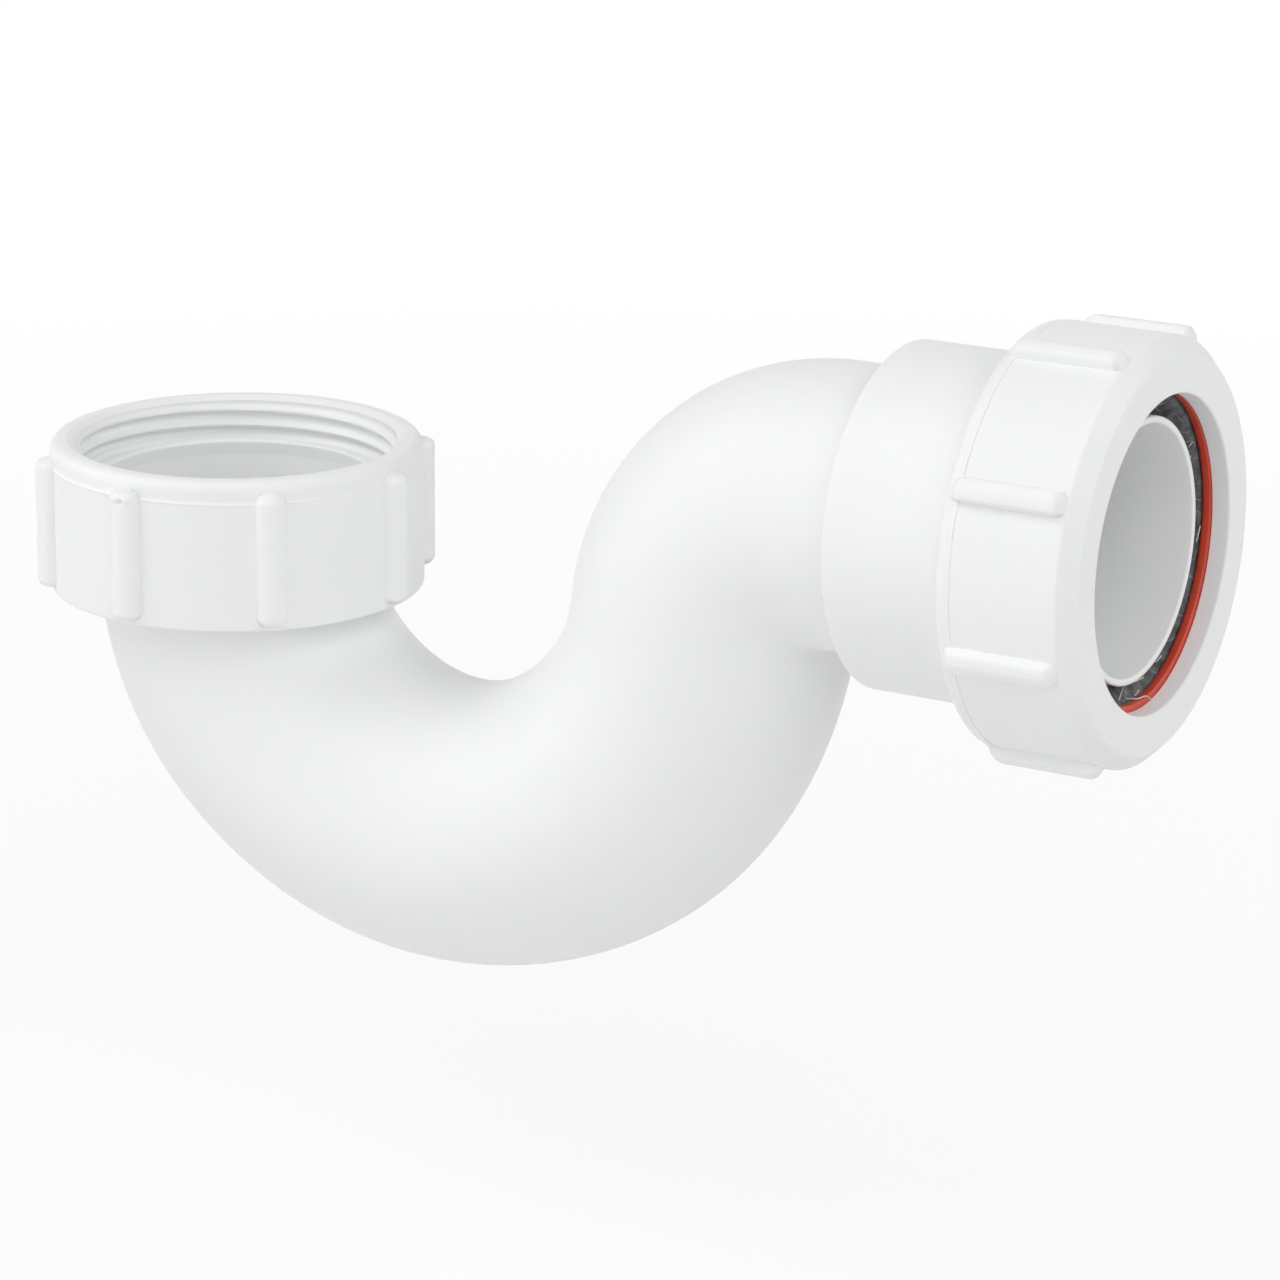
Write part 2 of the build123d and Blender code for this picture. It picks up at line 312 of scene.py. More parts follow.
class StageSettings(bpy.types.PropertyGroup):
    """Camera, lamps and floor."""

    camera_aim: FloatVectorProperty(
        name="Camera aim",
        description="Point in the middle of the picture",
        default=(69.585 * MM, 0.248 * MM, -15.098 * MM),
        subtype="XYZ",
        unit="LENGTH",
        precision=5,
    )
    camera_distance: length("Camera distance", "Distance from the camera to its aim", 719.88)
    camera_azimuth: angle("Camera azimuth", "Turn of the camera round the part", 29.80)
    camera_elevation: angle("Camera elevation", "Height of the camera over the horizon", 16.74)
    camera_roll: angle("Camera roll", "Tilt of the camera about its own axis", 0.50)
    camera_lens: FloatProperty(
        name="Lens", description="Focal length in millimetres", default=140.625, min=1, subtype="DISTANCE_CAMERA"
    )
    left_low_power: power("Left low", "Power of the low lamp at the left", 2.8)
    left_high_power: power("Left high", "Power of the high lamp at the left", 4.9)
    front_low_power: power("Front low", "Power of the low lamp at the left of the camera", 1.8)
    front_high_power: power("Front high", "Power of the high lamp at the left of the camera", 2.0)
    key_power: power("Key", "Power of the lamp over the camera's right shoulder", 4.8)
    right_power: power("Right", "Power of the lamp at the right", 3.7)
    sky: share("Sky", "Strength of the even light from all round", 0.18)
    floor: share("Floor", "Whiteness of the floor in bounced light", 0.95)
    floor_drop: length("Floor drop", "Gap between the part's lowest point and the floor", 40)
    floor_glow: share("Floor glow", "Share of plain white that the camera sees in the floor near the part", 0.86)
    floor_near: length("Floor near", "Distance from the part's middle where the floor starts to whiten", 150.0)
    floor_far: length("Floor far", "Distance from the part's middle where the floor is plain white", 650.0)


class BathTrapSettings(bpy.types.PropertyGroup):
    """All sizes, colours and stage settings of the bath trap."""

    tube: PointerProperty(type=TubeSizes)
    inlet_nut: PointerProperty(type=InletNutSizes)
    socket: PointerProperty(type=SocketSizes)
    outlet_nut: PointerProperty(type=OutletNutSizes)
    finish: PointerProperty(type=FinishColours)
    stage: PointerProperty(type=StageSettings)


def unit(vector):
    """Vector of length one."""
    return vector / np.linalg.norm(vector)


def smooth_step(low, high, value):
    """0 below low, 1 above high and a smooth ramp between them."""
    ramp = np.clip((value - low) / (high - low), 0, 1)
    return ramp * ramp * (3 - 2 * ramp)


def rounded_corner(before, corner, after, radius):
    """Points of an arc that rounds a corner between two others."""
    towards_before = unit(before - corner)
    towards_after = unit(after - corner)
    half = math.acos(np.clip(towards_before @ towards_after, -1, 1)) / 2
    sweep = math.pi - 2 * half
    if radius == 0 or sweep < ARC_STEP / 2:
        return corner[None, :]
    centre = corner + unit(towards_before + towards_after) * radius / math.sin(half)
    first = corner + towards_before * radius / math.tan(half) - centre
    last = corner + towards_after * radius / math.tan(half) - centre
    part = np.linspace(0, 1, math.ceil(sweep / ARC_STEP) + 1)[:, None]
    return centre + (np.sin((1 - part) * sweep) * first + np.sin(part * sweep) * last) / math.sin(sweep)


def traced(outline, step, closed=True):
    """Points along an outline of (radius, distance, rounding) corners, no further apart than step."""
    corners = [np.array(corner[:2], float) for corner in outline]
    bends = []
    for index, corner in enumerate(corners):
        is_end = not closed and index in (0, len(corners) - 1)
        before = corners[index - 1]
        after = corners[(index + 1) % len(corners)]
        bends.append(corner[None, :] if is_end else rounded_corner(before, corner, after, outline[index][2]))
    marks = np.concatenate(bends + ([bends[0][:1]] if closed else []))
    points = []
    for start, end in zip(marks[:-1], marks[1:]):
        count = max(1, math.ceil(np.linalg.norm(end - start) / step))
        points.append(start + (end - start) * np.arange(count)[:, None] / count)
    return np.concatenate(points if closed else points + [marks[-1:]])


def even_columns(count):
    """Evenly spaced angles round a ring."""
    return np.linspace(0, FULL_TURN, count, endpoint=False)


def lug_columns(first, spread):
    """Angles round a nut: close together over each lug, most of all at its sides, and wider between lugs."""
    step = FULL_TURN / LUG_COUNT
    over = spread * np.sin(np.linspace(-QUARTER_TURN, QUARTER_TURN, LUG_OVER_COLUMNS, endpoint=False))
    between = np.linspace(spread, step - spread, LUG_BETWEEN_COLUMNS, endpoint=False)
    sector = np.concatenate([over, between])
    return (first + step * np.arange(LUG_COUNT)[:, None] + sector).ravel()


def from_nearest_lug(angles, first):
    """Angle from the middle of the nearest lug."""
    step = FULL_TURN / LUG_COUNT
    return (angles - first + step / 2) % step - step / 2


def upright_rings(radius, height, angles):
    """Rings of points about the inlet axis."""
    radius, height, angles = np.broadcast_arrays(radius, height, angles)
    return np.stack([radius * np.cos(angles), radius * np.sin(angles), height], axis=-1)


def level_rings(radius, along, angles):
    """Rings of points about the outlet axis, with angles from +Y towards +Z."""
    radius, along, angles = np.broadcast_arrays(radius, along, angles)
    return np.stack([along, radius * np.cos(angles), OUTLET_HEIGHT + radius * np.sin(angles)], axis=-1)


def skin(name, rings):
    """Smooth closed mesh over rings of points, each ring joined to the next and the last to the first."""
    count, around = rings.shape[:2]
    corner = np.arange(count * around).reshape(count, around)
    beside = np.roll(corner, -1, axis=1)
    faces = np.stack([corner, beside, np.roll(beside, -1, axis=0), np.roll(corner, -1, axis=0)], axis=-1)
    mesh = bpy.data.meshes.new(name)
    mesh.from_pydata(rings.reshape(-1, 3).tolist(), [], faces.reshape(-1, 4).tolist())
    shape = bmesh.new()
    shape.from_mesh(mesh)
    bmesh.ops.recalc_face_normals(shape, faces=shape.faces)
    shape.to_mesh(mesh)
    shape.free()
    mesh.shade_smooth()
    mesh.set_sharp_from_angle(angle=SHARP_EDGE)
    return place(name, mesh)


def place(name, data):
    """New object in the scene."""
    piece = bpy.data.objects.new(name, data)
    bpy.context.scene.collection.objects.link(piece)
    return piece


def seat(piece, body, node, material):
    """Put a finished piece in a node's place on its body, with its finish."""
    piece.data.materials.append(material)
    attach(piece, body)
    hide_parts(node)


def thread_ridge(along, angles, pitch, crest):
    """1 on the crests and 0 at the roots of a right-hand thread with a crest at a given place at angle 0."""
    phase = (along - crest) / pitch - angles / FULL_TURN
    from_crest = np.abs((phase + 0.5) % 1 - 0.5) * 2
    return 1 - smooth_step(0.0, 0.85, from_crest)


def bar_height(across, inside, half, reach, end_round, shape):
    """Height over its wall of a ridged bar: across from its middle line, inside from its nearest end."""
    square, fall, narrowing = shape
    drop = end_round - np.sqrt(end_round**2 - np.clip(end_round - inside, 0, end_round) ** 2)
    width = np.abs(across) / (half - narrowing * drop)
    back = np.clip(1 - width**square, 0, 1) ** (1 / square) * (1 - fall * np.minimum(width, 1))
    past = np.clip(width - 1, 0, None) * half + np.clip(-inside, 0, None)
    return (reach - drop) * back - FOOT_SLOPE * past


def soft_over(height, foot):
    """Height over the wall with a soft foot."""
    blend = np.clip(height + foot, 0, None) ** 2 / (4 * foot)
    return np.where(np.abs(height) < foot, blend, np.maximum(height, 0))


def bump(across, along, width):
    """Round bump of height one."""
    return np.exp(-(across**2 + along**2) / width**2)


def route_stretches(tube):
    """Length and turn of each stretch of the tube's centre line: neck, both halves of the U, rise, crown, level run."""
    climb = tube.neck_angle + tube.drop_angle + tube.climb_angle - QUARTER_TURN
    halfway = tube.neck_angle + tube.drop_angle - QUARTER_TURN
    neck_drop = tube.neck_radius * math.sin(tube.neck_angle)
    first_rise = tube.drop_radius * (math.sin(tube.neck_angle) - math.cos(halfway))
    second_rise = tube.climb_radius * (math.cos(halfway) - math.cos(climb))
    crown_rise = tube.crown_radius * (1 - math.cos(climb))
    rise = OUTLET_HEIGHT + tube.route_start + neck_drop - first_rise - second_rise - crown_rise
    return [
        (tube.neck_radius * tube.neck_angle, tube.neck_angle),
        (tube.drop_radius * tube.drop_angle, tube.drop_angle),
        (tube.climb_radius * tube.climb_angle, tube.climb_angle),
        (rise / math.sin(climb), 0.0),
        (tube.crown_radius * climb, -climb),
        (TRAP_HIGH.x, 0.0),
    ]


def along_route(distance, tube):
    """Place (x, z) and heading of the centre line at distances from the start of the neck."""
    x, z, heading = np.zeros((3, *distance.shape))
    at_x, at_z, facing, start = 0.0, -tube.route_start, -QUARTER_TURN, 0.0
    for stretch, turn in route_stretches(tube):
        part = distance - start
        here = part >= 0
        bend = turn / stretch
        end = facing + turn
        now = facing + bend * part
        if turn:
            move_x, move_z = (np.sin(now) - math.sin(facing)) / bend, (math.cos(facing) - np.cos(now)) / bend
            end_x, end_z = (math.sin(end) - math.sin(facing)) / bend, (math.cos(facing) - math.cos(end)) / bend
        else:
            move_x, move_z = part * math.cos(facing), part * math.sin(facing)
            end_x, end_z = stretch * math.cos(facing), stretch * math.sin(facing)
        x[here], z[here], heading[here] = (at_x + move_x)[here], (at_z + move_z)[here], now[here]
        at_x, at_z, facing, start = at_x + end_x, at_z + end_z, end, start + stretch
    return x, z, heading


def crown_end(tube):
    """Distance along the centre line, and along X, at which the crown ends."""
    distance = sum(stretch for stretch, _ in route_stretches(tube)[:-1])
    return distance, along_route(np.array([distance]), tube)[0][0]


def tube_size(distance, tube):
    """Outside radius of the tube at distances along its centre line."""
    end, end_x = crown_end(tube)
    marks = np.array(SIZE_MARKS) * (end + SOCKET_LOW.x + tube.socket_grip - end_x)
    sizes = (tube.neck_size, tube.drop_size, tube.u_size, tube.rise_size, tube.crown_size, tube.end_size)
    size = sizes[0]
    for index, change in enumerate(np.diff(sizes)):
        size = size + change * smooth_step(marks[index], marks[index + 1], distance)
    return size


def bent_rings(radius, distance, angles, tube):
    """Rings of points about the tube's centre line; the crown's inner side stops short of its bend's centre."""
    radius, distance, angles = np.broadcast_arrays(radius, distance, angles)
    x, z, heading = along_route(distance, tube)
    crown_start = crown_end(tube)[0] - route_stretches(tube)[-2][0]
    room = smooth_step(crown_start - CREASE_RUN, crown_start, distance)
    limit = tube.crown_radius - tube.crown_crease + (1 - room) * CREASE_SLACK
    lean = np.maximum(radius * np.cos(angles), -limit)
    return np.stack([x - np.sin(heading) * lean, radius * np.sin(angles), z + np.cos(heading) * lean], axis=-1)


def tail_rings(tube, angles):
    """Outside of the tail, from its mouth over the flange down to the shoulder."""
    flange = WASHER_HIGH.y
    top = WASHER_LOW.z
    outline = [
        (tube.tail_mouth, top, 0),
        (flange, top, tube.edge_round),
        (flange, top - tube.flange_thickness, tube.edge_round),
        (tube.tail_radius, top - tube.flange_thickness, tube.edge_round),
        (tube.tail_radius, INLET_NUT_LOW.z - tube.shoulder_gap, 0),
    ]
    rows = traced(outline, TUBE_STEP, closed=False)
    return upright_rings(rows[:, :1], rows[:, 1:], angles)


def tube_rings(tube, angles, stop):
    """Outside of the bent tube, cut level at the shoulder under the nut and square at its far end."""
    square = tube.neck_radius * tube.neck_angle + tube.square_run
    tries = np.linspace(0, square, 200)[:, None]
    heights = bent_rings(tube_size(tries, tube), tries, angles, tube)[:, :, 2]
    shoulder = INLET_NUT_LOW.z - tube.shoulder_gap
    starts = np.array([np.interp(-shoulder, -column, tries[:, 0]) for column in heights.T])
    part = np.linspace(0, 1, math.ceil(square / TUBE_STEP))[:, None]
    along = np.linspace(square, stop, math.ceil((stop - square) / TUBE_STEP))[1:, None]
    distance = np.concatenate([starts + part * (square - starts), along + 0 * angles])
    return bent_rings(tube_size(distance, tube), distance, angles, tube)


def inner_tube_rings(tube, angles, start, stop, end):
    """Step down to the thin inner tube, its rim, and its bore back to the wide bore."""
    inner_bore = tube.inner_radius - tube.inner_wall
    outline = [
        (tube.end_size, stop, 0),
        (tube.inner_radius, stop, 0),
        (tube.inner_radius, end, tube.rim_round),
        (inner_bore, end, tube.rim_round),
        (inner_bore, stop - tube.taper_wall, 0),
        (tube_size(start, tube) - tube.wall, start, 0),
    ]
    rows = traced(outline, TUBE_STEP, closed=False)[1:]
    return bent_rings(rows[:, :1], rows[:, 1:], angles, tube)


def waterway_rings(tube, angles, start):
    """Wide bore, from the outlet back to the flare in the tail's mouth."""
    back = np.linspace(start, 0, math.ceil(start / TUBE_STEP))[1:, None]
    flare_foot = WASHER_LOW.z - tube.tail_mouth_depth
    bore = tube.neck_size - tube.wall
    mouth = [(bore, -tube.route_start, 0), (bore, flare_foot, 0), (tube.tail_mouth, WASHER_LOW.z, 0)]
    rows = traced(mouth, TUBE_STEP, closed=False)[1:-1]
    up = upright_rings(rows[:, :1], rows[:, 1:], angles)
    return np.concatenate([bent_rings(tube_size(back, tube) - tube.wall, back, angles, tube), up])


def make_tube(tube):
    """Hollow body: tail with flange, neck, U, crown and the thin tube inside the socket."""
    angles = even_columns(TUBE_COLUMNS)
    level_start, level_x = crown_end(tube)
    start = level_start + SOCKET_LOW.x - level_x
    stop = start + tube.socket_grip
    end = level_start + TRAP_HIGH.x - level_x
    rings = [
        tail_rings(tube, angles),
        tube_rings(tube, angles, stop),
        inner_tube_rings(tube, angles, start, stop, end),
        waterway_rings(tube, angles, start),
    ]
    return skin("trap_tube", np.concatenate(rings))


def make_washer(nut):
    """Flat washer on the tail's flange."""
    outline = [
        (nut.washer_hole, WASHER_LOW.z, 0),
        (WASHER_HIGH.y, WASHER_LOW.z, 0),
        (WASHER_HIGH.y, WASHER_HIGH.z, nut.washer_round),
        (nut.washer_hole, WASHER_HIGH.z, nut.washer_round),
    ]
    rows = traced(outline, ROUND_STEP)
    return skin("seat_washer", upright_rings(rows[:, :1], rows[:, 1:], even_columns(ROUND_COLUMNS)))


def inlet_thread(nut, height, angles):
    """How far the female thread stands in from its root."""
    ridge = thread_ridge(height, angles, nut.thread_pitch, nut.thread_crest_height)
    run_out = smooth_step(-0.2 * MM, 0.8 * MM, height) * (1 - smooth_step(4.6 * MM, 5.6 * MM, height))
    return (nut.thread_root - nut.thread_crest) * ridge * run_out


def gate_mark(nut, across, height):
    """Torn gate on the parting line at the head of one lug."""
    line = INLET_NUT_HIGH.z - nut.parting_depth
    left = bump(across + 2.2 * MM, height - line - 0.1 * MM, 0.7 * MM) * 0.5 * MM
    middle = bump(across + 0.7 * MM, height - line - 0.1 * MM, 0.5 * MM) * 0.45 * MM
    pit = bump(across - 0.15 * MM, height - line + 0.25 * MM, 0.35 * MM) * -0.8 * MM
    lip = bump(across - 1.1 * MM, height - line - 0.1 * MM, 0.45 * MM) * 0.4 * MM
    return left + middle + pit + lip


def make_inlet_nut(nut):
    """Union nut: half-round lugs, parting line, rounded mouth, two turns of thread, lip under the flange."""
    angles = lug_columns(nut.lug_angle, (nut.lug_half + 2 * nut.lug_foot) / nut.radius)
    top, bottom = INLET_NUT_HIGH.z, INLET_NUT_LOW.z
    parting = top - nut.parting_depth
    upper = nut.radius - nut.parting_step
    mouth = nut.mouth
    outline = [
        (nut.lip_bore, bottom, nut.foot_round),
        (nut.radius, bottom, nut.foot_round),
        (nut.radius, parting - nut.flash_width, 0),
        (nut.radius + nut.flash, parting, 0),
        (upper, parting + nut.flash_width, 0),
        (upper, top, nut.top_round),
        (mouth, top, nut.mouth_round),
        (nut.thread_root, top - (mouth - nut.thread_root) * nut.mouth_slope, 0),
        (nut.thread_root, 0, nut.foot_round),
        (nut.relief, 0 - nut.thread_root + nut.relief, 0),
        (nut.relief, bottom + nut.lip, 0),
        (nut.lip_bore, bottom + nut.lip, 0),
    ]
    rows = traced(outline, LUG_STEP)
    radius, height = rows[:, :1], rows[:, 1:]
    across = nut.radius * from_nearest_lug(angles, nut.lug_angle)
    inside = np.minimum(height - bottom - nut.lug_foot_inset, top - height - nut.lug_top_inset)
    bars = nut.radius + bar_height(across, inside, nut.lug_half, nut.lug_reach, nut.lug_end_round, INLET_LUG)
    outer = radius > mouth + nut.mouth_round
    wall = np.where(outer, radius + soft_over(bars - radius, nut.lug_foot), radius)
    gate_lug = nut.lug_angle - QUARTER_TURN
    from_gate = nut.radius * ((angles - gate_lug + math.pi) % FULL_TURN - math.pi)
    wall = wall + np.where(outer, gate_mark(nut, from_gate, height), 0)
    wall = np.minimum(wall, nut.radius + nut.lug_reach)
    inner = (radius < nut.thread_root + 1.5 * MM) & (height > -0.5 * MM)
    wall = wall - np.where(inner, inlet_thread(nut, height, angles), 0)
    return skin("union_nut", upright_rings(wall, height, angles))


def outlet_thread(socket, along, angles):
    """Share of the compression thread's depth, fading out at the socket's mouth and at its rear."""
    ridge = thread_ridge(along, angles, socket.thread_pitch, SOCKET_HIGH.x)
    rear = OUTLET_NUT_LOW.x
    fade_in = smooth_step(rear, rear + socket.thread_run_out, along)
    fade_out = 1 - smooth_step(SOCKET_HIGH.x - socket.thread_run_out, SOCKET_HIGH.x, along)
    return ridge * fade_in * fade_out


def make_socket(socket, tube):
    """Sleeve over the tube's end: round shoulder, flare up to the thread, coned mouth for the seal."""
    rear_bore = tube_size(crown_end(tube)[0], tube) + socket.rear_gap
    angles = even_columns(ROUND_COLUMNS)
    start, mouth = SOCKET_LOW.x, SOCKET_HIGH.x
    flare_end = OUTLET_NUT_LOW.x
    cone = socket.bore + socket.cone_spread
    outline = [
        (rear_bore, start, 0),
        (socket.radius, start, socket.rear_round),
        (socket.radius, flare_end - socket.flare, socket.flare_round),
        (SOCKET_HIGH.y, flare_end, socket.edge_round),
        (socket.thread_root, flare_end + socket.edge_round, 0),
        (socket.thread_root, mouth, socket.edge_round),
        (cone, mouth, 0),
        (socket.bore, mouth - socket.cone_depth, 0),
        (socket.bore, start + socket.grip, 0),
        (rear_bore, start + socket.grip, 0),
    ]
    rows = traced(outline, ROUND_STEP)
    radius, along = rows[:, :1], rows[:, 1:]
    outside = radius > cone
    rise = (socket.thread_crest - socket.thread_root) * outlet_thread(socket, along, angles)
    return skin("pipe_socket", level_rings(radius + np.where(outside, rise, 0), along, angles))


def make_seal(socket, nut):
    """Rubber wedge in the coned mouth: flange under the slip ring, funnel for the pipe."""
    angles = even_columns(ROUND_COLUMNS)
    seat_plane = SOCKET_HIGH.x + nut.seal_gap
    front = SEAL_HIGH.x
    outline = [
        (nut.seal_bore, SEAL_LOW.x, 0),
        (socket.bore - nut.seal_gap, SEAL_LOW.x, nut.seal_round),
        (socket.bore + socket.cone_spread - nut.seal_gap, seat_plane, 0),
        (SEAL_HIGH.y, seat_plane, 0),
        (SEAL_HIGH.y, front, nut.seal_round),
        (nut.seal_funnel, front, nut.seal_round),
        (nut.seal_bore, front - nut.seal_funnel_depth, nut.seal_round),
    ]
    rows = traced(outline, ROUND_STEP)
    radius, along = rows[:, :1], rows[:, 1:]
    wander = np.sin(5 * angles + 0.6) + np.sin(11 * angles + 2.1) + np.sin(17 * angles)
    on_funnel = (radius < nut.seal_funnel) & (along > front - 1.5 * nut.seal_funnel_depth)
    radius = radius + np.where(on_funnel, 0.04 * MM * wander, 0)
    return skin("rubber_seal", level_rings(radius, along, angles))


def make_ring(nut):
    """Red slip ring between the seal and the nut's lip, a little high in the nut."""
    rim = RING_HIGH.y - nut.ring_lift
    rear = RING_LOW.x - nut.ring_back
    outline = [
        (nut.ring_hole, rear, nut.ring_rear_round),
        (rim, rear, nut.ring_round),
        (rim, RING_HIGH.x, nut.ring_round),
        (nut.ring_hole, RING_HIGH.x, nut.ring_round),
    ]
    rows = traced(outline, ROUND_STEP)
    rings = level_rings(rows[:, :1], rows[:, 1:], even_columns(ROUND_COLUMNS))
    return skin("red_slip_ring", rings + (0, 0, nut.ring_lift))


def make_outlet_nut(nut, socket):
    """Compression nut: round-ended lugs, rear band, chamfered face, threaded bore behind its lip."""
    angles = lug_columns(nut.lug_angle, (nut.lug_half + 2 * nut.lug_foot) / nut.radius)
    rear, face = OUTLET_NUT_LOW.x, OUTLET_NUT_HIGH.x
    parting = rear + nut.parting_depth
    chamfer_start = face - nut.chamfer
    hole = OUTLET_HOLE_RADIUS * MM
    entrance = socket.thread_crest + nut.thread_gap
    valley = socket.thread_root + nut.thread_gap
    thread_stop = face - nut.thread_end
    outline = [
        (entrance, rear, nut.entrance_round),
        (nut.radius, rear, nut.rear_round),
        (nut.radius, parting - nut.flash_width, 0),
        (nut.radius + nut.flash, parting, 0),
        (nut.radius - nut.groove, parting, 0),
        (nut.radius, parting + nut.flash_width, 0),
        (nut.radius, chamfer_start, nut.chamfer_round),
        (nut.radius - nut.chamfer, face, nut.chamfer_round),
        (hole, face, nut.hole_round),
        (hole, face - nut.lip, 0),
        (nut.bore, face - nut.lip, 0),
        (nut.bore, thread_stop, 0),
        (valley, thread_stop - socket.thread_run_out, 0),
        (valley, rear + socket.thread_run_out, 0),
    ]
    rows = traced(outline, LUG_STEP)
    radius, along = rows[:, :1], rows[:, 1:]
    across = nut.radius * from_nearest_lug(angles, nut.lug_angle)
    lug_front = chamfer_start - nut.lug_setback
    rear_end = (along - rear - nut.lug_rear_inset) / nut.lug_rear_run
    front_end = (lug_front - along) / nut.lug_front_run
    inside = nut.lug_end_round * np.minimum(rear_end, front_end)
    bars = nut.radius + bar_height(across, inside, nut.lug_half, nut.lug_reach, nut.lug_end_round, OUTLET_LUG)
    outer = radius > entrance + nut.entrance_round
    wall = np.where(outer, radius + soft_over(bars - radius, nut.lug_foot), radius)
    threaded = (radius < entrance) & (along < thread_stop)
    ridge = thread_ridge(along, angles, socket.thread_pitch, SOCKET_HIGH.x)
    fade_out = 1 - smooth_step(thread_stop - socket.thread_run_out, thread_stop, along)
    thread = valley + (socket.thread_crest - socket.thread_root) * ridge
    thread = nut.bore + (thread - nut.bore) * fade_out
    wall = np.where(threaded, np.maximum(wall, thread), wall)
    return skin("compression_nut", level_rings(wall, along, angles))


def node_at(tree, kind, x, y):
    """New node at a place in its tree."""
    node = tree.nodes.new(kind)
    node.location = (x, y)
    return node


def new_group(name, inputs, outputs):
    """Shader node group with named sockets; returns the group and its two end nodes."""
    group = bpy.data.node_groups.new(name, "ShaderNodeTree")
    for title, kind, default in inputs:
        group.interface.new_socket(name=title, in_out="INPUT", socket_type=kind).default_value = default
    for title, kind in outputs:
        group.interface.new_socket(name=title, in_out="OUTPUT", socket_type=kind)
    return group, node_at(group, "NodeGroupInput", -800, 0), node_at(group, "NodeGroupOutput", 600, 0)


def noise(tree, place_socket, scale, detail, x, y):
    """Noise texture over the piece's own coordinates."""
    node = node_at(tree, "ShaderNodeTexNoise", x, y)
    node.inputs["Detail"].default_value = detail
    tree.links.new(place_socket, node.inputs["Vector"])
    if isinstance(scale, (int, float)):
        node.inputs["Scale"].default_value = scale
    else:
        tree.links.new(scale, node.inputs["Scale"])
    return node.outputs["Fac"]


def ranged(tree, value, low, high, to_low, to_high, x, y):
    """Value moved from one range to another, held at both ends."""
    node = node_at(tree, "ShaderNodeMapRange", x, y)
    limits = {"From Min": low, "From Max": high, "To Min": to_low, "To Max": to_high}
    for title, limit in limits.items():
        node.inputs[title].default_value = limit
    tree.links.new(value, node.inputs["Value"])
    return node.outputs["Result"]


def summed(tree, first, second, weight, x, y):
    """First value plus a weighted second one."""
    node = node_at(tree, "ShaderNodeMath", x, y)
    node.operation = "MULTIPLY_ADD"
    node.inputs[1].default_value = weight
    tree.links.new(second, node.inputs[0])
    tree.links.new(first, node.inputs[2])
    return node.outputs["Value"]


def moulded_grain():
    """Group: fine spark-eroded grain over the slow sink and swell of a moulding."""
    inputs = [("Grain Scale", "NodeSocketFloat", 2200.0), ("Swell Scale", "NodeSocketFloat", 60.0)]
    outputs = [("Height", "NodeSocketFloat"), ("Gloss Break", "NodeSocketFloat")]
    group, start, end = new_group("Moulded Grain", inputs, outputs)
    spot = node_at(group, "ShaderNodeTexCoord", -800, 300).outputs["Object"]
    fine = noise(group, spot, start.outputs["Grain Scale"], 2.0, -500, 200)
    swell = noise(group, spot, start.outputs["Swell Scale"], 1.0, -500, -100)
    height = summed(group, swell, fine, 0.12, 0, 200)
    group.links.new(height, end.inputs["Height"])
    group.links.new(ranged(group, swell, 0.3, 0.7, 0.0, 1.0, 0, -100), end.inputs["Gloss Break"])
    return group


def tint_drift():
    """Group: slow drift between two tints of one colour."""
    inputs = [
        ("Tint", "NodeSocketColor", (0.8, 0.8, 0.8, 1)),
        ("Drift", "NodeSocketColor", (0.7, 0.7, 0.7, 1)),
        ("Scale", "NodeSocketFloat", 40.0),
    ]
    group, start, end = new_group("Tint Drift", inputs, [("Color", "NodeSocketColor")])
    spot = node_at(group, "ShaderNodeTexCoord", -800, 300).outputs["Object"]
    cloud = noise(group, spot, start.outputs["Scale"], 3.0, -500, 200)
    mix = node_at(group, "ShaderNodeMix", 200, 0)
    mix.data_type = "RGBA"
    group.links.new(ranged(group, cloud, 0.35, 0.65, 0.0, 1.0, -100, 200), mix.inputs["Factor"])
    group.links.new(start.outputs["Tint"], mix.inputs["A"])
    group.links.new(start.outputs["Drift"], mix.inputs["B"])
    group.links.new(mix.outputs["Result"], end.inputs["Color"])
    return group


def loose_dirt():
    """Group: mask of small specks and short curled scratches."""
    inputs = [("Speck Scale", "NodeSocketFloat", 260.0), ("Scratch Scale", "NodeSocketFloat", 160.0)]
    outputs = [("Specks", "NodeSocketFloat"), ("Scratches", "NodeSocketFloat")]
    group, start, end = new_group("Loose Dirt", inputs, outputs)
    spot = node_at(group, "ShaderNodeTexCoord", -800, 300).outputs["Object"]
    cells = node_at(group, "ShaderNodeTexVoronoi", -500, 200)
    group.links.new(spot, cells.inputs["Vector"])
    group.links.new(start.outputs["Speck Scale"], cells.inputs["Scale"])
    near = ranged(group, cells.outputs["Distance"], 0.05, 0.12, 1.0, 0.0, -200, 300)
    rare = node_at(group, "ShaderNodeSeparateColor", -300, 50)
    group.links.new(cells.outputs["Color"], rare.inputs["Color"])
    chosen = ranged(group, rare.outputs["Red"], 0.8, 0.85, 0.0, 1.0, -100, 50)
    specks = node_at(group, "ShaderNodeMath", 200, 200)
    specks.operation = "MULTIPLY"
    group.links.new(near, specks.inputs[0])
    group.links.new(chosen, specks.inputs[1])
    group.links.new(specks.outputs["Value"], end.inputs["Specks"])
    lines = noise(group, spot, start.outputs["Scratch Scale"], 1.0, -500, -200)
    ridge = node_at(group, "ShaderNodeMath", -200, -200)
    ridge.operation = "PINGPONG"
    ridge.inputs[1].default_value = 0.06
    group.links.new(lines, ridge.inputs[0])
    group.links.new(ranged(group, ridge.outputs["Value"], 0.0, 0.006, 1.0, 0.0, 100, -200), end.inputs["Scratches"])
    return group


def shared_group(name, builder):
    """Node group by name, built the first time it is asked for."""
    return bpy.data.node_groups.get(name) or builder()


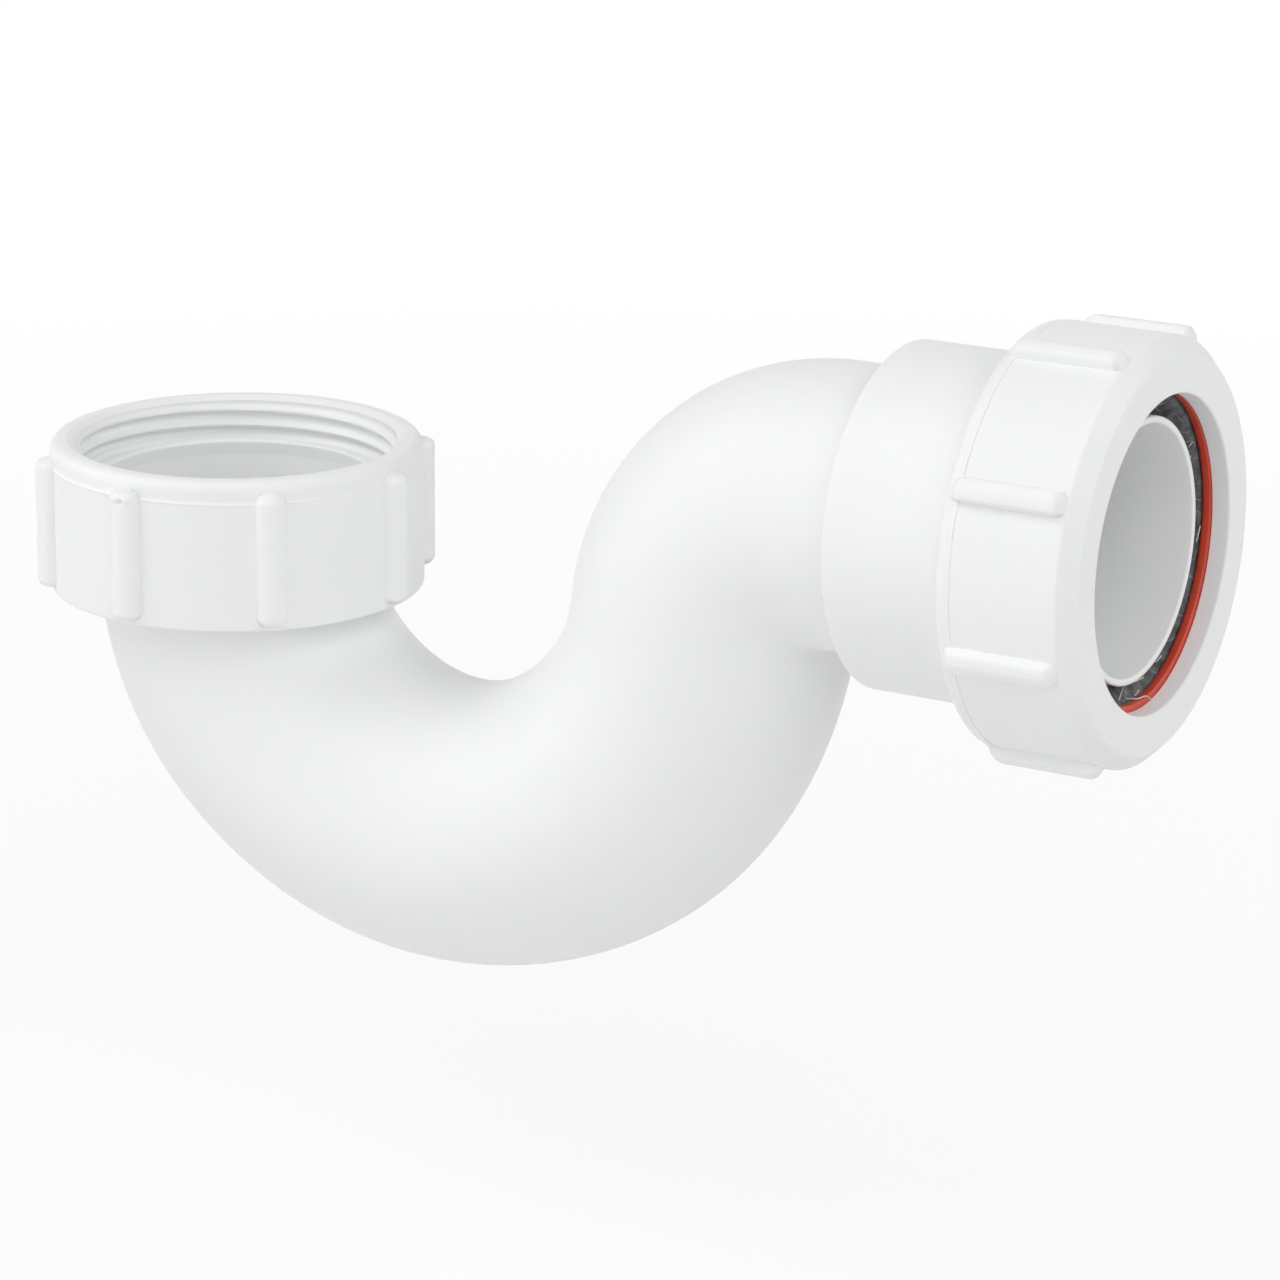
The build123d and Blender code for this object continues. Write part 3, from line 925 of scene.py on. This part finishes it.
def group_node(tree, group, values, x, y):
    """Node group placed in a material with its own values."""
    node = node_at(tree, "ShaderNodeGroup", x, y)
    node.node_tree = group
    for title, value in values.items():
        node.inputs[title].default_value = value
    return node


def solid(rgb):
    """Colour with full alpha."""
    return (*rgb, 1.0)


def tinted(tree, colour_socket, mask, tint, strength, x, y):
    """Colour mixed towards a tint by a mask and a strength."""
    mix = node_at(tree, "ShaderNodeMix", x, y)
    mix.data_type = "RGBA"
    tree.links.new(ranged(tree, mask, 0.0, 1.0, 0.0, strength, x - 200, y - 200), mix.inputs["Factor"])
    tree.links.new(colour_socket, mix.inputs["A"])
    mix.inputs["B"].default_value = solid(tint)
    return mix.outputs["Result"]


def new_finish(name, tint, drift, drift_scale, grain_scale, bump_height, gloss):
    """Material with drifting colour and moulded grain; gloss is its lowest and highest roughness."""
    material = bpy.data.materials.new(name)
    material.use_nodes = True
    tree = material.node_tree
    shader = tree.nodes["Principled BSDF"]
    tints = {"Tint": solid(tint), "Drift": solid(drift), "Scale": drift_scale}
    drifting = group_node(tree, shared_group("Tint Drift", tint_drift), tints, -900, 300)
    grain = group_node(tree, shared_group("Moulded Grain", moulded_grain), {"Grain Scale": grain_scale}, -900, -100)
    rough = ranged(tree, grain.outputs["Gloss Break"], 0.0, 1.0, gloss[0], gloss[1], -500, 0)
    tree.links.new(rough, shader.inputs["Roughness"])
    relief = node_at(tree, "ShaderNodeBump", -300, -300)
    relief.inputs["Strength"].default_value = 0.6
    relief.inputs["Distance"].default_value = bump_height
    tree.links.new(grain.outputs["Height"], relief.inputs["Height"])
    tree.links.new(relief.outputs["Normal"], shader.inputs["Normal"])
    tree.links.new(drifting.outputs["Color"], shader.inputs["Base Color"])
    return material, drifting.outputs["Color"]


def add_dirt(material, base, tint, specks, scratches):
    """Specks and scratches of one tint over a finish's colour."""
    tree = material.node_tree
    dirt = group_node(tree, shared_group("Loose Dirt", loose_dirt), {}, -900, 700)
    base = tinted(tree, base, dirt.outputs["Specks"], tint, specks, -500, 500)
    base = tinted(tree, base, dirt.outputs["Scratches"], tint, scratches, -250, 500)
    tree.links.new(base, tree.nodes["Principled BSDF"].inputs["Base Color"])


def white_plastic(finish):
    """Satin white moulding with a faint grain and hardly any dirt."""
    name = "White Plastic"
    if name in bpy.data.materials:
        return bpy.data.materials[name]
    material, base = new_finish(name, finish.white, finish.white_drift, 45.0, 2200.0, 0.06 * MM, (0.4, 0.5))
    add_dirt(material, base, finish.grime, 0.04, 0.0)
    shader = material.node_tree.nodes["Principled BSDF"]
    shader.inputs["IOR"].default_value = 1.49
    shader.inputs["Specular IOR Level"].default_value = 0.3
    shader.inputs["Subsurface Weight"].default_value = 0.1
    shader.inputs["Subsurface Radius"].default_value = (1.0, 0.95, 0.9)
    shader.inputs["Subsurface Scale"].default_value = 1.0 * MM
    return material


def washer_plastic(finish):
    """Soft matt washer."""
    material, _ = new_finish("Washer", finish.washer, finish.washer_drift, 90.0, 1500.0, 0.05 * MM, (0.5, 0.62))
    return material


def red_plastic(finish):
    """Satin red slip ring, scuffed here and there."""
    material, base = new_finish("Red Ring", finish.red, finish.red_drift, 120.0, 1800.0, 0.05 * MM, (0.34, 0.5))
    add_dirt(material, base, finish.dust, 0.25, 0.0)
    return material


def seal_rubber(finish):
    """Matt black rubber with bloom, dust and fine light scratches."""
    gloss = (0.55, 0.75)
    material, base = new_finish("Seal Rubber", finish.rubber, finish.rubber_drift, 650.0, 1400.0, 0.15 * MM, gloss)
    add_dirt(material, base, finish.dust, 0.7, 0.55)
    return material


def on_outlet(along, radius, degrees):
    """Point about the outlet axis, in millimetres and degrees from +Y towards +Z."""
    turn = math.radians(degrees)
    return (along * MM, radius * MM * math.cos(turn), OUTLET_HEIGHT + radius * MM * math.sin(turn))


def make_trimmings(nut):
    """Curled plastic trimmings left on the seal and the slip ring."""
    curve = bpy.data.curves.new("trimmings", "CURVE")
    curve.dimensions = "3D"
    curve.bevel_depth = nut.whisker_radius
    curve.bevel_resolution = 2
    curve.use_fill_caps = True
    for points in TRIMMINGS:
        spline = curve.splines.new("NURBS")
        spline.points.add(len(points) - 1)
        for knot, point in zip(spline.points, points):
            knot.co = (*on_outlet(*point), 1.0)
        spline.order_u = 3
        spline.use_endpoint_u = True
        spline.resolution_u = 6
    holder = place("trimmings_curve", curve)
    mesh = bpy.data.meshes.new_from_object(holder)
    bpy.data.objects.remove(holder)
    mesh.shade_smooth()
    return place("seal_trimmings", mesh)


class BATHTRAP_OT_tube(bpy.types.Operator):
    """Build the bent tube with its tail and inner outlet tube"""

    bl_idname = "bath_trap.tube"
    bl_label = "Tube"

    def execute(self, context):
        settings = context.scene.bath_trap
        piece = make_tube(settings.tube)
        seat(piece, "trap", "trap_body", white_plastic(settings.finish))
        return {"FINISHED"}


class BATHTRAP_OT_washer(bpy.types.Operator):
    """Build the washer on the tail's flange"""

    bl_idname = "bath_trap.washer"
    bl_label = "Washer"

    def execute(self, context):
        settings = context.scene.bath_trap
        piece = make_washer(settings.inlet_nut)
        seat(piece, "trap", "inlet_washer", washer_plastic(settings.finish))
        return {"FINISHED"}


class BATHTRAP_OT_inlet_nut(bpy.types.Operator):
    """Build the union nut on the inlet"""

    bl_idname = "bath_trap.inlet_nut"
    bl_label = "Inlet Nut"

    def execute(self, context):
        settings = context.scene.bath_trap
        piece = make_inlet_nut(settings.inlet_nut)
        seat(piece, "inlet_nut", "inlet_nut", white_plastic(settings.finish))
        return {"FINISHED"}


class BATHTRAP_OT_socket(bpy.types.Operator):
    """Build the outlet socket with its male thread"""

    bl_idname = "bath_trap.socket"
    bl_label = "Outlet Socket"

    def execute(self, context):
        settings = context.scene.bath_trap
        piece = make_socket(settings.socket, settings.tube)
        seat(piece, "trap", "outlet_socket", white_plastic(settings.finish))
        return {"FINISHED"}


class BATHTRAP_OT_seal(bpy.types.Operator):
    """Build the rubber taper seal"""

    bl_idname = "bath_trap.seal"
    bl_label = "Taper Seal"

    def execute(self, context):
        settings = context.scene.bath_trap
        piece = make_seal(settings.socket, settings.outlet_nut)
        seat(piece, "trap", "taper_seal", seal_rubber(settings.finish))
        return {"FINISHED"}


class BATHTRAP_OT_trimmings(bpy.types.Operator):
    """Lay the curled trimmings on the seal"""

    bl_idname = "bath_trap.trimmings"
    bl_label = "Trimmings"

    def execute(self, context):
        settings = context.scene.bath_trap
        piece = make_trimmings(settings.outlet_nut)
        piece.data.materials.append(white_plastic(settings.finish))
        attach(piece, "trap")
        return {"FINISHED"}


class BATHTRAP_OT_ring(bpy.types.Operator):
    """Build the red slip ring"""

    bl_idname = "bath_trap.ring"
    bl_label = "Slip Ring"

    def execute(self, context):
        settings = context.scene.bath_trap
        piece = make_ring(settings.outlet_nut)
        seat(piece, "slip_ring", "slip_ring", red_plastic(settings.finish))
        return {"FINISHED"}


class BATHTRAP_OT_outlet_nut(bpy.types.Operator):
    """Build the compression nut on the outlet"""

    bl_idname = "bath_trap.outlet_nut"
    bl_label = "Outlet Nut"

    def execute(self, context):
        settings = context.scene.bath_trap
        piece = make_outlet_nut(settings.outlet_nut, settings.socket)
        seat(piece, "outlet_nut", "outlet_nut", white_plastic(settings.finish))
        return {"FINISHED"}


def place_camera(stage):
    """Camera at the photograph's view."""
    azimuth, elevation = stage.camera_azimuth, stage.camera_elevation
    flat = math.cos(elevation)
    back = Vector((math.sin(azimuth) * flat, -math.cos(azimuth) * flat, math.sin(elevation)))
    lens = bpy.data.cameras.new("photo_camera")
    lens.lens = stage.camera_lens
    camera = place("photo_camera", lens)
    camera.location = Vector(stage.camera_aim) + back * stage.camera_distance
    camera.rotation_mode = "QUATERNION"
    camera.rotation_quaternion = back.to_track_quat("Z", "Y") @ Quaternion((0, 0, 1), stage.camera_roll)
    bpy.context.scene.camera = camera


def soft_lamp(name, stage, aim):
    """Broad square lamp that looks at a point from its own side."""
    turn, elevation = (math.radians(degrees) for degrees in LAMPS[name])
    side = stage.camera_azimuth + turn
    flat = math.cos(elevation)
    away = Vector((math.sin(side) * flat, -math.cos(side) * flat, math.sin(elevation)))
    lamp = bpy.data.lights.new(name, "AREA")
    lamp.energy = getattr(stage, name + "_power")
    lamp.size = LAMP_WIDTH
    holder = place(name, lamp)
    holder.location = aim + away * LAMP_DISTANCE
    holder.rotation_mode = "QUATERNION"
    holder.rotation_quaternion = away.to_track_quat("Z", "Y")


def white_to_camera(tree, x, y):
    """1 for rays from the camera, and for mirrored and refracted ones, so that they all meet plain white."""
    paths = node_at(tree, "ShaderNodeLightPath", x, y)
    either = node_at(tree, "ShaderNodeMath", x + 200, y)
    either.operation = "MAXIMUM"
    tree.links.new(paths.outputs["Is Camera Ray"], either.inputs[0])
    tree.links.new(paths.outputs["Is Glossy Ray"], either.inputs[1])
    seen = node_at(tree, "ShaderNodeMath", x + 400, y)
    seen.operation = "MAXIMUM"
    tree.links.new(either.outputs["Value"], seen.inputs[0])
    tree.links.new(paths.outputs["Is Transmission Ray"], seen.inputs[1])
    return seen.outputs["Value"]


def paint_sky(stage):
    """Even light from all round, and plain white where the camera looks past the part."""
    world = bpy.data.worlds.new("studio")
    bpy.context.scene.world = world
    world.use_nodes = True
    tree = world.node_tree
    even = tree.nodes["Background"]
    even.inputs["Color"].default_value = (1, 1, 1, 1)
    even.inputs["Strength"].default_value = stage.sky
    white = node_at(tree, "ShaderNodeBackground", 0, -200)
    white.inputs["Color"].default_value = (1, 1, 1, 1)
    mix = node_at(tree, "ShaderNodeMixShader", 200, 0)
    tree.links.new(white_to_camera(tree, -800, 300), mix.inputs["Fac"])
    tree.links.new(even.outputs["Background"], mix.inputs[1])
    tree.links.new(white.outputs["Background"], mix.inputs[2])
    tree.links.new(mix.outputs["Shader"], tree.nodes["World Output"].inputs["Surface"])


def floor_finish(stage):
    """Pale floor: matt in bounced light, near white to the camera, with the part's shadow left in it."""
    material = bpy.data.materials.new("Pale Floor")
    material.use_nodes = True
    tree = material.node_tree
    matt = tree.nodes["Principled BSDF"]
    matt.inputs["Roughness"].default_value = 0.9
    matt.inputs["Specular IOR Level"].default_value = 0.1
    matt.inputs["Base Color"].default_value = (stage.floor, stage.floor, stage.floor, 1)
    glow = node_at(tree, "ShaderNodeEmission", 0, -300)
    mix = node_at(tree, "ShaderNodeMixShader", 300, 0)
    spot = node_at(tree, "ShaderNodeNewGeometry", -800, 0)
    away = node_at(tree, "ShaderNodeVectorMath", -600, 0)
    away.operation = "DISTANCE"
    away.inputs[1].default_value = (cad_low + cad_high) / 2
    tree.links.new(spot.outputs["Position"], away.inputs[0])
    near, far = stage.floor_near, stage.floor_far
    white = ranged(tree, away.outputs["Value"], near, far, stage.floor_glow, 1.0, -300, 0)
    seen = node_at(tree, "ShaderNodeMath", 0, 300)
    seen.operation = "MULTIPLY"
    tree.links.new(white_to_camera(tree, -800, 300), seen.inputs[0])
    tree.links.new(white, seen.inputs[1])
    tree.links.new(seen.outputs["Value"], mix.inputs["Fac"])
    tree.links.new(matt.outputs["BSDF"], mix.inputs[1])
    tree.links.new(glow.outputs["Emission"], mix.inputs[2])
    tree.links.new(mix.outputs["Shader"], tree.nodes["Material Output"].inputs["Surface"])
    return material


def lay_floor(stage):
    """Wide flat floor under the U."""
    reach = 6.0
    low = TRAP_LOW.z - stage.floor_drop
    corners = [(-reach, -reach, low), (reach, -reach, low), (reach, reach, low), (-reach, reach, low)]
    mesh = bpy.data.meshes.new("floor")
    mesh.from_pydata(corners, [], [(0, 1, 2, 3)])
    floor = place("floor", mesh)
    mesh.materials.append(floor_finish(stage))


class BATHTRAP_OT_stage(bpy.types.Operator):
    """Set up the camera, lamps, sky and floor"""

    bl_idname = "bath_trap.stage"
    bl_label = "Stage"

    def execute(self, context):
        stage = context.scene.bath_trap.stage
        context.scene.view_settings.view_transform = "Standard"
        middle = (cad_low + cad_high) / 2
        place_camera(stage)
        for name in LAMPS:
            soft_lamp(name, stage, middle)
        paint_sky(stage)
        lay_floor(stage)
        return {"FINISHED"}


class BATHTRAP_PT_pieces(bpy.types.Panel):
    """Buttons for each piece and its sizes"""

    bl_idname = "BATHTRAP_PT_pieces"
    bl_label = "Bath Trap"
    bl_space_type = "VIEW_3D"
    bl_region_type = "UI"
    bl_category = "Bath Trap"

    def draw(self, context):
        for operator in OPERATORS:
            self.layout.operator(operator.bl_idname)
        for title in ("tube", "inlet_nut", "socket", "outlet_nut", "finish", "stage"):
            group = getattr(context.scene.bath_trap, title)
            box = self.layout.box()
            box.label(text=title.replace("_", " ").capitalize())
            for name in group.__annotations__:
                box.prop(group, name)


OPERATORS = (
    BATHTRAP_OT_tube,
    BATHTRAP_OT_washer,
    BATHTRAP_OT_inlet_nut,
    BATHTRAP_OT_socket,
    BATHTRAP_OT_seal,
    BATHTRAP_OT_trimmings,
    BATHTRAP_OT_ring,
    BATHTRAP_OT_outlet_nut,
    BATHTRAP_OT_stage,
)
CLASSES = (
    TubeSizes,
    InletNutSizes,
    SocketSizes,
    OutletNutSizes,
    FinishColours,
    StageSettings,
    BathTrapSettings,
    *OPERATORS,
    BATHTRAP_PT_pieces,
)


def register():
    for item in CLASSES:
        bpy.utils.register_class(item)
    bpy.types.Scene.bath_trap = PointerProperty(type=BathTrapSettings)


def unregister():
    del bpy.types.Scene.bath_trap
    for item in reversed(CLASSES):
        bpy.utils.unregister_class(item)


def main():
    """Build every piece and the stage in order."""
    register()
    bpy.ops.bath_trap.tube()
    bpy.ops.bath_trap.washer()
    bpy.ops.bath_trap.inlet_nut()
    bpy.ops.bath_trap.socket()
    bpy.ops.bath_trap.seal()
    bpy.ops.bath_trap.trimmings()
    bpy.ops.bath_trap.ring()
    bpy.ops.bath_trap.outlet_nut()
    bpy.ops.bath_trap.stage()


if __name__ == "__main__":
    main()
